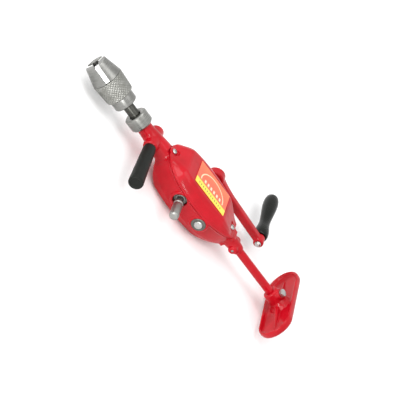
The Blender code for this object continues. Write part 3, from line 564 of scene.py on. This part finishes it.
def make_case():
    stub = [(0, 0.0193), (0.0080, 0.0193), (0.0098, 0.0176), (0.0106, 0.004),
            (0.0106, -0.004), (0.0098, -0.0176), (0.0080, -0.0193), (0, -0.0193)]
    lobes = [(0, 0.0138), (0.0040, 0.0136), (0.0062, 0.0118), (0.0068, 0.0060), (0.0066, 0.0),
             (0.0068, -0.0060), (0.0062, -0.0118), (0.0040, -0.0136), (0, -0.0138)]
    neck = [(0, 0.3353), (0.0110, 0.3353), (0.0111, 0.3285), (0.0100, 0.3270),
            (0.0104, 0.318), (0.0124, 0.300), (0.0138, 0.284), (0.0152, 0.268), (0, 0.2571)]
    tail = [(0, 0.160), (0.0110, 0.160), (0.0122, 0.140), (0.0104, 0.126), (0.0085, 0.113),
            (0.0078, 0.1065), (0.0068, 0.1047), (0, 0.1047)]
    shell = fused(CASE_VOXEL, 10,
                  case_half(-1, -PARTING_Z - 0.001, 0, CASE_FRONT_X, CASE_REAR_X),
                  revolved(neck, at(0, 0, 0, X_AXIS)), revolved(tail, at(0, 0, 0, X_AXIS)),
                  revolved(stub, at(SIDE_HANDLE_X, 0, 0, Y_AXIS)),
                  revolved(lobes, at(TAIL_BOSS_X, 0, 0, Y_AXIS)), *shaft_bosses(),
                  case_lip(-1, PARTING_Z + 0.001))
    seat_rear, seat_front = COVER_REAR_X - 0.0005, CASE_FRONT_X + 0.0035
    seat = block((seat_front - seat_rear, 0.09, 0.04),
                 at(0.5 * (seat_front + seat_rear), 0, PARTING_Z + 0.02))
    shell = fused(CASE_VOXEL, 3, cut(shell, seat, case_cavity(-1, -PARTING_Z - 0.002)))
    spindle_bore = rod(0.0066, 0.095, at(0.29, 0, 0, X_AXIS))
    front_bush_seat = rod(0.0090, 0.034, at(0.324, 0, 0, X_AXIS))
    back_rod_socket = rod(0.0060, 0.035, at(0.1165, 0, 0, X_AXIS))
    stud_holes = rod(0.0041, 0.050, at(SIDE_HANDLE_X, 0, 0, Y_AXIS))
    rod_pin_hole = rod(ROD_PIN_HOLE_RADIUS, 0.040, at(TAIL_BOSS_X, 0, 0, Y_AXIS))
    screw_holes = [rod(SCREW_HOLE_RADIUS, 0.008, at(x, 0, PARTING_Z)) for x in COVER_SCREWS_X]
    shell = cut(shell, spindle_bore, front_bush_seat, back_rod_socket, *bush_seats(),
                stud_holes, rod_pin_hole, *screw_holes)
    piece("case_casting", shell, RED, "frame", ["gear_case"])


def make_cover():
    base = PARTING_Z + GAP
    body = case_half(1, base, 0, COVER_FRONT_X, COVER_REAR_X)
    body = cut(body, *[rod(0.0072, 0.03, at(x, 0, EAR_TOP_Z + 0.015)) for x in COVER_SCREWS_X])
    ears = [revolved([(0, EAR_TOP_Z), (0.0060, EAR_TOP_Z), (0.0068, EAR_TOP_Z - 0.0008),
                      (0.0070, base), (0, base)], at(x, 0, 0)) for x in COVER_SCREWS_X]
    below = block((0.2, 0.1, 0.04), at(0.2, 0, base - 0.02))
    shell = cut(fused(FINE_VOXEL, 4, body, case_lip(1, base), *ears, *shaft_bosses()), below)
    shell = fused(FINE_VOXEL, 2, cut(shell, case_cavity(1, base - 0.001)))
    screw_holes = [rod(SCREW_HOLE_RADIUS, 0.03, at(x, 0, EAR_TOP_Z)) for x in COVER_SCREWS_X]
    piece("cover_casting", cut(shell, *screw_holes, *bush_seats()), RED, "frame",
          ["case_cover"])


def make_cover_screws():
    for i, x in enumerate(COVER_SCREWS_X):
        low = EAR_TOP_Z + GAP
        head = revolved([(0, low + 0.0024), (0.0018, low + 0.0023), (0.0031, low + 0.0017),
                         (0.0038, low + 0.0006), (0.0038, low), (0.0021, low),
                         (0.0021, 0.0073), (0, 0.0070)], at(x, 0, 0), 48, 0.0002)
        arms = [block((0.0040, 0.0008, 0.0020),
                      at(x, 0, low + 0.0024) @ Matrix.Rotation(0.5 + i + turn, 4, "Z"))
                for turn in (0, math.pi / 2)]
        piece(f"cover_screw_head_{i + 1}", cut(head, *arms), ZINC, "frame",
              [f"cover_screw_{i + 1}"])


def make_label():
    low, high = LOW["label"], HIGH["label"]
    corner = 0.0012
    outline = []
    for cx, cy, start in ((high.x, high.y, 0), (low.x, high.y, 1), (low.x, low.y, 2),
                          (high.x, low.y, 3)):
        inner_x = cx - corner if cx == high.x else cx + corner
        inner_y = cy - corner if cy == high.y else cy + corner
        for k in range(5):
            angle = (start + k / 4) * math.pi / 2
            outline.append((inner_x + corner * math.cos(angle),
                            inner_y + corner * math.sin(angle)))
    sections = [[(x, y, z) for x, y in outline]
                for z in (low.z, low.z + 0.0002, high.z)]
    piece("case_label", skinned(sections), LABEL, "frame", ["label"])


# ---- turned parts ---------------------------------------------------------------------
def make_turned_parts():
    x_line, crank_side = at(0, 0, 0, X_AXIS), at(CRANK_AXLE_X, 0, 0, MINUS_Y_AXIS)
    piece("collar", revolved([(0.0096, 0.3474), (0.0136, 0.3474), (0.0154, 0.3456),
                              (0.0154, 0.3310), (0.0134, 0.3287), (0.0117, 0.3287),
                              (0.0117, 0.3446), (0.0079, 0.3446), (0.0079, 0.3466)],
                             x_line, closed=True, ease=0.0002),
          STEEL_X, "frame", ["bearing_cap"])
    piece("spindle_bar", cut(revolved([
        (0, 0.3895), (0.0060, 0.3895), (0.0060, 0.3657), (0.0073, 0.3657), (0.0073, 0.3440),
        (0.0112, 0.3440), (0.0112, 0.3422), (0.0062, 0.3422), (0.0062, 0.2980),
        (0.0050, 0.2960), (0.0050, 0.1950), (0, 0.1950)], x_line, 64),
        *[rod(GEAR_PIN_HOLE_RADIUS, 0.03, at(x, 0, 0)) for x in (CRANK_AXLE_X + 0.0228,
                                                   DRIVE_SHAFT_X - 0.0157)]),
        DARK_STEEL_X, "spindle", ["spindle"])
    piece("handle_moulding", revolved([
        (0, 0.0945), (0.0068, 0.0947), (0.0080, 0.0955), (0.0088, 0.0960), (0.0097, 0.0952),
        (0.0101, 0.0935), (0.0100, 0.0880), (0.0096, 0.0760), (0.0090, 0.0450),
        (0.0085, 0.0240), (0.0082, 0.0206), (0.0076, 0.0200), (0.0041, 0.0200),
        (0.0041, 0.0525), (0, 0.0525)], at(SIDE_HANDLE_X, 0, 0, Y_AXIS), ease=0.0010),
        HANDLE_BLACK, "frame", ["side_handle"])
    # The bush rings take the bush steel, whose darkness is partly real dark steel and partly painted
    # shade of their counterbores.
    for name, low, high, x, turn in (
            ("near_axle_bush", 0.0270, 0.0402, CRANK_AXLE_X, Y_AXIS),
            ("far_axle_bush", 0.0270, 0.0402, CRANK_AXLE_X, MINUS_Y_AXIS),
            ("drive_shaft_bush", 0.0235, 0.0350, DRIVE_SHAFT_X, Y_AXIS)):
        bore = 0.0065 if name == "drive_shaft_bush" else 0.0063
        ring = [(0.0098, high - 0.0006), (0.0098, low), (bore, low), (bore, high),
                (0.0092, high)]
        piece(name + "_ring", revolved(ring, at(x, 0, 0, turn), 72, 0.0002, closed=True),
              BUSH_STEEL_PAINTED_SHADE, "frame", [name])
    shaft = revolved([
        (0, 0.0740), (0.0045, 0.0740), (0.0060, 0.0727), (0.0065, 0.0710), (0.0065, 0.0500),
        (0.0057, 0.0494), (0.0057, 0.0480), (0.0065, 0.0474), (0.0065, 0.0450),
        (0.0050, 0.0440), (0.0050, 0.0356), (0.0062, 0.0356), (0.0062, 0.0216),
        (0.0050, 0.0216), (0.0050, 0.0078), (0, 0.0078)],
        at(DRIVE_SHAFT_X, 0, 0, Y_AXIS), 72, 0.0003)
    piece("drive_shaft_bar", cut(shaft, rod(GEAR_PIN_HOLE_RADIUS, 0.03, at(DRIVE_SHAFT_X, 0.0180, 0))),
          STEEL_Y, "drive_shaft", ["slow_drive_shaft"])
    axle = revolved([
        (0, 0.0790), (0.0034, 0.0790), (0.0040, 0.0784), (0.0040, 0.0716), (0.0060, 0.0716),
        (0.0060, -0.0403), (0.0054, -0.0413), (0.0040, -0.0419), (0.0022, -0.0422),
        (0, -0.0423)], crank_side, 72, 0.0003)
    piece("axle_bar", cut(axle, rod(GEAR_PIN_HOLE_RADIUS, 0.03, at(CRANK_AXLE_X, -0.0190, 0))),
          ZINC, "crank", ["crank_axle"])
    piece("rod_bar", cut(revolved([
        (0, 0.1330), (0.0050, 0.1330), (0.0057, 0.1322), (0.0057, 0.0083), (0.0050, 0.0075),
        (0, 0.0075)], x_line, 64), rod(ROD_PIN_HOLE_RADIUS, 0.03, at(TAIL_BOSS_X, 0, 0, Y_AXIS))),
        RED, "frame", ["back_rod"])


# ---- crank ----------------------------------------------------------------------------
def make_crank():
    sections = []
    for t in range(25):
        x = CRANK_LENGTH * t / 24
        flare = max(0.0, 1 - t / 9) ** 2
        wide = 0.0062 - 0.0010 * t / 24 + 0.0050 * flare
        deep = 0.0054 + 0.0008 * flare
        section = []
        for k in range(20):
            angle = math.tau * k / 20
            c, s = math.cos(angle), math.sin(angle)
            section.append((-x, deep * math.copysign(abs(s) ** 0.4, s),
                            wide * math.copysign(abs(c) ** 0.4, c)))
        sections.append(section)
    bar = skinned(sections)
    bar.transform(at(CRANK_AXLE_X, CRANK_MIDDLE_Y, 0, Matrix.Rotation(-CRANK_DROOP, 4, "Y")))
    hub = revolved([(0, 0.0070), (0.0112, 0.0070), (0.0130, 0.0056), (0.0130, -0.0056),
                    (0.0112, -0.0070), (0, -0.0070)], at(CRANK_AXLE_X, CRANK_MIDDLE_Y, 0, Y_AXIS))
    end = revolved([(0, 0.0070), (0.0060, 0.0070), (0.0072, 0.0058), (0.0072, -0.0058),
                    (0.0060, -0.0070), (0, -0.0070)],
                   at(CRANK_END.x, CRANK_MIDDLE_Y, CRANK_END.z, Y_AXIS))
    arm = cut(fused(FINE_VOXEL, 6, bar, hub, end),
              rod(0.0063, 0.03, at(CRANK_AXLE_X, CRANK_MIDDLE_Y, 0, Y_AXIS)),
              rod(0.0036, 0.03, at(CRANK_END.x, CRANK_MIDDLE_Y, CRANK_END.z, Y_AXIS)))
    piece("crank_casting", arm, RED, "crank", ["crank_arm"])
    nut_place = at(CRANK_AXLE_X, 0, 0, MINUS_Y_AXIS)
    piece("crank_washer_ring", revolved([(0.0095, 0.0731), (0.0095, 0.0719), (0.0043, 0.0719),
                                         (0.0043, 0.0731)], nut_place, 64, 0.0002, closed=True),
          ZINC, "crank", ["crank_washer"])
    make_hex("crank_hex_nut", 0.0075, 0.0734, 0.0776, nut_place, "crank", "crank_nut", 0.0043)
    grip_place = at(CRANK_END.x, 0, CRANK_END.z, MINUS_Y_AXIS)
    piece("grip_rivet", revolved([
        (0, 0.1506), (0.0033, 0.1506), (0.0033, 0.0567), (0.0045, 0.0567), (0.0045, 0.0556),
        (0.0038, 0.0545), (0.0024, 0.0538), (0, 0.0536)], grip_place, 48, 0.0003),
        ZINC, "crank", ["crank_grip_pin"])
    start, long = 0.0716, 0.0910
    outer = [(0, 1.0), (0.0022, 0.998), (0.0046, 0.988), (0.0070, 0.967), (0.0088, 0.935),
             (0.0099, 0.890), (0.0105, 0.835), (0.0106, 0.780), (0.0103, 0.710),
             (0.0097, 0.630), (0.0089, 0.550), (0.0082, 0.470), (0.0077, 0.400),
             (0.0075, 0.340), (0.0078, 0.280), (0.0086, 0.220), (0.0095, 0.165),
             (0.0101, 0.110), (0.0101, 0.060), (0.0097, 0.025), (0.0090, 0.004), (0.0084, 0)]
    profile = [(r, start + h * long) for r, h in outer]
    profile += [(0.0037, start), (0.0037, start + 0.0800), (0, start + 0.0800)]
    piece("grip_moulding", revolved(profile, grip_place, 96, 0.0006),
          GRIP_BLACK, "grip", ["crank_grip"])


def make_hex(name, radius, low, high, place, body, node, bore=None, shank=None):
    """A hexagon head or nut with its corners turned off."""
    prism = revolved([(0, high), (radius, high), (radius, low), (0, low)], place, 6, 0.0)
    flat = radius * math.cos(math.pi / 6)
    bell = revolved([(0, high + 0.001), (radius * 1.5, high + 0.001), (radius * 1.5, low - 0.001),
                     (radius * 1.05, low - 0.001), (radius * 1.02, high - 0.0012),
                     (flat, high - 0.00002), (0, high - 0.00001)], place, 72, 0.0)
    mesh = cut(prism, bell)
    if bore:
        mesh = cut(mesh, rod(bore, 0.3, place))
    mesh = with_modifiers(mesh, ("BEVEL", {"width": 0.00018, "segments": 2,
                                           "limit_method": "ANGLE"}))
    if shank:
        mesh = joined(mesh, shank)
    piece(name, mesh, ZINC, body, [node], sharp=28)


# ---- breast plate ---------------------------------------------------------------------
def stadium_ring(inset, height, count=28):
    half_length, half_width = 0.0655 - inset, 0.0250 - inset
    straight = half_length - half_width
    ring = []
    for side in (1, -1):
        for i in range(count):
            angle = -math.pi / 2 + math.pi * i / (count - 1)
            ring.append((height, side * (straight + half_width * math.cos(angle)),
                         -side * half_width * math.sin(angle)))
    return ring


def make_plate():
    tilt = Matrix.Rotation(PLATE_TILT, 4, "X")
    rings = [stadium_ring(inset, height) for inset, height in (
        (0.0032, 0.0), (0.0016, 0.0006), (0.0006, 0.0020), (0.0001, 0.0050), (0.0004, 0.0088),
        (0.0012, 0.0099), (0.0022, 0.0099), (0.0034, 0.0088), (0.0048, 0.0062),
        (0.0068, 0.0048), (0.0095, 0.0045))]
    dish = skinned(rings)
    dish.transform(tilt)
    ribs = []
    for side in (1, -1):
        sections = []
        for t in range(13):
            u = t / 12
            y = side * (0.004 + u * 0.0475)
            wide = 0.0052 * (1 - u) + 0.0012 * u
            high = 0.0132 * (1 - u) ** 1.3 + 0.0056 * (1 - (1 - u) ** 1.3)
            sections.append([(0.0030, y, -wide), (high, y, -0.55 * wide),
                             (high + 0.0004, y, 0), (high, y, 0.55 * wide), (0.0030, y, wide)])
        rib = skinned(sections)
        rib.transform(tilt)
        ribs.append(rib)
    socket = revolved([(0, 0.0299), (0.0092, 0.0299), (0.0104, 0.0287), (0.0107, 0.0140),
                       (0.0122, 0.0090), (0.0150, 0.0055), (0.0165, 0.0030), (0, 0.0030)],
                      at(0, 0, 0, X_AXIS))
    boss = revolved([(0, 0.0122), (0.0068, 0.0122), (0.0076, 0.0114), (0.0080, 0.0040),
                     (0, 0.0040)], at(PLATE_BOLT_X, 0, 0))
    shell = fused(FINE_VOXEL, 6, dish, *ribs, socket, boss)
    shell = cut(shell, rod(0.0060, 0.030, at(0.0222, 0, 0, X_AXIS)),
                rod(0.0033, 0.012, at(PLATE_BOLT_X, 0, 0.0110)))
    piece("plate_casting", shell, RED, "plate", ["breast_plate"])
    shank = rod(0.0030, 0.0075, at(PLATE_BOLT_X, 0, 0.01005), 32)
    make_hex("plate_hex_bolt", 0.0058, 0.0125, 0.0167, at(PLATE_BOLT_X, 0, 0), "plate",
             "plate_bolt", shank=shank)


# ---- chuck ----------------------------------------------------------------------------
def jaw_turn(i):
    return Matrix.Rotation(JAW_PHASE + i * math.tau / JAW_COUNT, 4, "X")


def make_chuck():
    body = revolved([
        (0.0052, NOSE_X), (0.0142, NOSE_X), (NOSE_RADIUS, NOSE_X - 0.0010),
        (CONE_RADIUS, SLEEVE_FRONT_X + 0.0004), (0.0140, SLEEVE_FRONT_X + 0.0004),
        (0.0140, SLEEVE_REAR_X - 0.0004), (0.0158, SLEEVE_REAR_X - 0.0004),
        (0.0158, CHUCK_REAR_X + 0.0012), (0.0146, CHUCK_REAR_X), (0.0063, CHUCK_REAR_X),
        (0.0063, 0.3900), (0.0052, 0.3900)], at(0, 0, 0, X_AXIS), 144, 0.0003, closed=True)
    slots = [block((0.0405, 0.0070, 0.024), jaw_turn(i) @ at(0.4190, 0, 0.012))
             for i in range(JAW_COUNT)]
    body = cut(body, *slots)
    piece("chuck_core", body, NOSE_STEEL, "spindle", ["chuck_body"], 30)
    front, rear = NOSE_X - 0.0010, SLEEVE_FRONT_X - 0.0095
    shoulder = SLEEVE_FRONT_X + 0.0012
    cone = (CONE_RADIUS - NOSE_RADIUS) / (NOSE_X - SLEEVE_FRONT_X)
    rise = NOSE_RADIUS - 0.0007
    outline = [(front, rise), (shoulder, rise + cone * (front - shoulder)),
               (shoulder, 0.0128), (rear, 0.0128)]
    for i in range(JAW_COUNT):
        sections = []
        for share in (-1, -0.5, 0, 0.5, 1):
            y = share * JAW_HALF_WIDTH
            lift = abs(y) * math.tan(math.radians(30))
            sections.append([(x, y, z) for x, z in
                             [(front, 0.0047 + lift), *outline, (rear, 0.0088 + lift)]])
        mesh = skinned(sections)
        mesh.transform(jaw_turn(i))
        mesh = with_modifiers(mesh, ("BEVEL", {"width": 0.00025, "segments": 2,
                                               "limit_method": "ANGLE",
                                               "angle_limit": math.radians(25)}))
        piece(f"jaw_blade_{i + 1}", mesh, POLISHED, f"jaw_{i + 1}", [f"chuck_jaw_{i + 1}"],
              25)


def tooth(t):
    """One groove a unit, with a flat land between grooves."""
    return min(1.0, 1.5 * (1 - abs(2 * (t % 1.0) - 1)))


def make_sleeve():
    """The knurled sleeve: two crossing sets of spiral grooves cut into a turned ring."""
    around, samples, pitch, depth = 56, 4, 0.0022, 0.00055
    columns = around * samples
    front, rear = SLEEVE_FRONT_X, SLEEVE_REAR_X
    knurl_front, knurl_rear = front - 0.0010, rear + 0.0013
    rows = round((knurl_front - knurl_rear) / pitch * samples)
    bore = SLEEVE_BORE_RADIUS
    lines = [[(front - 0.0001, bore)] * columns, [(front, bore + 0.0004)] * columns,
             [(front, 0.0202)] * columns, [(front - 0.0003, 0.0206)] * columns]
    for r in range(rows + 1):
        x = knurl_front + (knurl_rear - knurl_front) * r / rows
        taper = (front - 0.0008 - x) / (front - rear - 0.0018)
        radius = SLEEVE_FRONT_RADIUS + (SLEEVE_REAR_RADIUS - SLEEVE_FRONT_RADIUS) * taper
        line = []
        for c in range(columns):
            u, v = r / samples, c / samples
            height = min(tooth(0.5 * (u + v)), tooth(0.5 * (u - v)))
            line.append((x, radius - depth * (1 - height)))
        lines.append(line)
    lines += [[(rear + 0.0005, 0.0188)] * columns, [(rear, 0.0183)] * columns,
              [(rear, bore + 0.0004)] * columns, [(rear + 0.0001, bore)] * columns]
    vertices = [(x, radius * math.cos(math.tau * c / columns),
                 radius * math.sin(math.tau * c / columns))
                for line in lines for c, (x, radius) in enumerate(line)]
    faces = []
    for k in range(len(lines)):
        after = (k + 1) % len(lines)
        for c in range(columns):
            d = (c + 1) % columns
            faces.append([k * columns + c, k * columns + d, after * columns + d,
                          after * columns + c])
    piece("knurled_sleeve", mesh_from(vertices, faces), KNURL, "sleeve", ["chuck_sleeve"],
          50)


# ---- CAD nodes that stay, with their finished materials -------------------------------
def dress_nodes():
    dress = {"front_bush": BRONZE, "rear_bush": BRONZE, "side_handle_stud": ZINC,
             "rod_pin": STEEL_Y}
    for name, node in NODES.items():
        if node.hide_render:
            continue
        material = dress.get(name, ZINC if name.startswith("thrust_ball") else GEAR_STEEL)
        node.data.materials.clear()
        node.data.materials.append(material)


# ---- floor, light and camera ----------------------------------------------------------
# The camera's own axes in the frame, fitted to the photograph's viewing angle.
CAMERA_RIGHT = Vector((-0.5545, -0.2163, 0.8036))
CAMERA_UP = Vector((0.7263, -0.5980, 0.3399))
CAMERA_BACK = Vector((0.4067, 0.7716, 0.4887))
CAMERA_AIM = Vector((0.1980, 0, 0))
CAMERA_DISTANCE = 2.89
CAMERA_LENS = 200
CAMERA_SENSOR = 36
FLOOR_DROP = 0.0004
FLOOR_SIZE, FLOOR_STEPS = 6.0, 24
WORLD_STRENGTH = 1.05
# Each light: its place (right, up, back), its size, its power and whether it lights diffusely.
LIGHTS = {
    "key": ((-0.7, 0.3, 1.9), (1.3, 1.3), 24, True),
    "fill": ((1.5, 0.6, 1.5), (1.3, 1.3), 11, True),
    "top": ((0.2, 1.3, 1.0), (1.0, 0.5), 6, True),
    "glint_low": ((0.1, -0.75, 1.5), (0.5, 0.35), 9, False),
    "glint_left": ((-1.4, 0.1, 0.6), (0.3, 1.2), 8, False),
}


def make_camera():
    data = bpy.data.cameras.new("camera")
    data.lens = CAMERA_LENS
    data.sensor_width = CAMERA_SENSOR
    camera = bpy.data.objects.new("camera", data)
    turn = Matrix((CAMERA_RIGHT, CAMERA_UP, CAMERA_BACK)).transposed().to_4x4()
    place = CAMERA_AIM + CAMERA_BACK * CAMERA_DISTANCE
    camera.matrix_world = Matrix.Translation(place) @ turn
    bpy.context.scene.collection.objects.link(camera)
    bpy.context.scene.camera = camera


def area_light(name, offset, size, power, diffuse):
    """A soft box that looks at the drill; offset is (right, up, back) as the camera sees."""
    data = bpy.data.lights.new(name, "AREA")
    data.shape = "RECTANGLE"
    data.size, data.size_y = size
    data.energy = power
    light = bpy.data.objects.new(name, data)
    place = CAMERA_AIM + (CAMERA_RIGHT * offset[0] + CAMERA_UP * offset[1]
                          + CAMERA_BACK * offset[2])
    light.location = place
    light.visible_diffuse = diffuse
    light.rotation_euler = (CAMERA_AIM - place).to_track_quat("-Z", "Y").to_euler()
    bpy.context.scene.collection.objects.link(light)


def make_floor():
    floor_z = CAD_BOX[0][2] - FLOOR_DROP
    steps, count = FLOOR_STEPS, FLOOR_STEPS + 1
    vertices = [((i / steps - 0.5) * FLOOR_SIZE, (j / steps - 0.5) * FLOOR_SIZE, floor_z)
                for i in range(count) for j in range(count)]
    faces = [[i * count + j, (i + 1) * count + j, (i + 1) * count + j + 1, i * count + j + 1]
             for i in range(steps) for j in range(steps)]
    mesh = bpy.data.meshes.new("floor")
    mesh.from_pydata(vertices, [], faces)
    mesh.materials.append(paper_floor())
    floor = bpy.data.objects.new("floor", mesh)
    bpy.context.scene.collection.objects.link(floor)


def make_lights():
    world = bpy.data.worlds.new("studio")
    world.use_nodes = True
    background = world.node_tree.nodes["Background"]
    background.inputs["Color"].default_value = (1, 1, 1, 1)
    background.inputs["Strength"].default_value = WORLD_STRENGTH
    bpy.context.scene.world = world
    for name, (offset, size, power, diffuse) in LIGHTS.items():
        area_light(name, offset, size, power, diffuse)
    bpy.context.scene.view_settings.view_transform = "Standard"


make_case()
make_cover()
make_cover_screws()
make_label()
make_turned_parts()
make_crank()
make_plate()
make_chuck()
make_sleeve()
dress_nodes()
make_floor()
make_lights()
make_camera()
